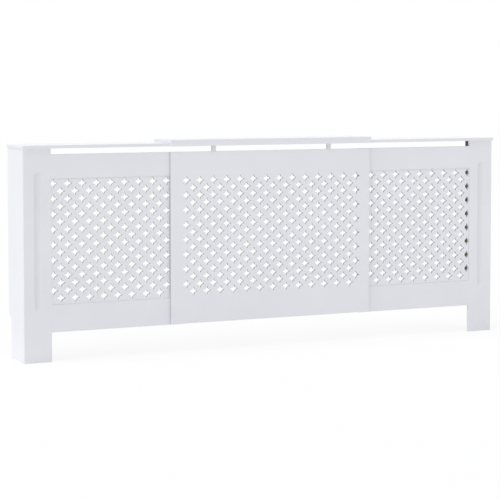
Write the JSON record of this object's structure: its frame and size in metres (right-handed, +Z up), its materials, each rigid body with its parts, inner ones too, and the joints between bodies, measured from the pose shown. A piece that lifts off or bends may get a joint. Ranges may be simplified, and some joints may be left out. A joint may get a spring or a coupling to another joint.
{
  "type": "radiator cover cabinet",
  "caption": "Extending white radiator cover: a pierced centre panel with its own shelf, and two end sections with pierced panels, posts and shelves that slide in behind it.",
  "frame": {"origin": "on the floor, in the middle of the width and of the depth, both end sections pulled out as in the picture", "axes": "+X along the front to the right, +Y from the front towards the wall, +Z up"},
  "size_m": [2.034, 0.2004, 0.815],
  "materials": {
    "white_lacquer": "satin white lacquer on smooth fibreboard",
    "raw_board": "raw fibreboard, matt brown",
    "zinc_steel": "bright zinc plating"
  },
  "bodies": {
    "centre_section": {"centre_panel": "white_lacquer", "centre_shelf": "white_lacquer", "centre_shelf_lip": "white_lacquer", "centre_spacer_left": "white_lacquer", "centre_spacer_right": "white_lacquer", "upper_keeper_block": "raw_board", "upper_keeper": "raw_board", "upper_keeper_screw_left": "zinc_steel", "upper_keeper_screw_right": "zinc_steel", "lower_keeper_block": "raw_board", "lower_keeper": "raw_board", "lower_keeper_screw_left": "zinc_steel", "lower_keeper_screw_right": "zinc_steel"},
    "left_section": {"left_front_frame": "white_lacquer", "left_lattice_panel": "white_lacquer", "left_end_panel": "white_lacquer", "left_shelf": "white_lacquer", "left_corner_batten": "raw_board", "left_shelf_batten": "raw_board", "left_wall_bracket": "zinc_steel", "left_lattice_clip_top_outer": "raw_board", "left_lattice_clip_top_inner": "raw_board", "left_lattice_clip_bottom_outer": "raw_board", "left_lattice_clip_bottom_inner": "raw_board", "left_corner_screw_front_lower": "zinc_steel", "left_corner_screw_front_upper": "zinc_steel", "left_corner_screw_end_lower": "zinc_steel", "left_corner_screw_end_upper": "zinc_steel", "left_shelf_screw": "zinc_steel", "left_shelf_batten_screw": "zinc_steel", "left_bracket_screw": "zinc_steel", "left_clip_screw_top_outer": "zinc_steel", "left_clip_screw_top_inner": "zinc_steel", "left_clip_screw_bottom_outer": "zinc_steel", "left_clip_screw_bottom_inner": "zinc_steel"},
    "right_section": {"right_front_frame": "white_lacquer", "right_lattice_panel": "white_lacquer", "right_end_panel": "white_lacquer", "right_shelf": "white_lacquer", "right_corner_batten": "raw_board", "right_shelf_batten": "raw_board", "right_wall_bracket": "zinc_steel", "right_lattice_clip_top_outer": "raw_board", "right_lattice_clip_top_inner": "raw_board", "right_lattice_clip_bottom_outer": "raw_board", "right_lattice_clip_bottom_inner": "raw_board", "right_corner_screw_front_lower": "zinc_steel", "right_corner_screw_front_upper": "zinc_steel", "right_corner_screw_end_lower": "zinc_steel", "right_corner_screw_end_upper": "zinc_steel", "right_shelf_screw": "zinc_steel", "right_shelf_batten_screw": "zinc_steel", "right_bracket_screw": "zinc_steel", "right_clip_screw_top_outer": "zinc_steel", "right_clip_screw_top_inner": "zinc_steel", "right_clip_screw_bottom_outer": "zinc_steel", "right_clip_screw_bottom_inner": "zinc_steel"}
  },
  "joints": [
    {"name": "left_section_slide", "type": "slide", "parent": "centre_section", "child": "left_section", "axis": [1, 0, 0], "range_m": [0, 0.32]},
    {"name": "right_section_slide", "type": "slide", "parent": "centre_section", "child": "right_section", "axis": [-1, 0, 0], "range_m": [0, 0.32]}
  ]
}
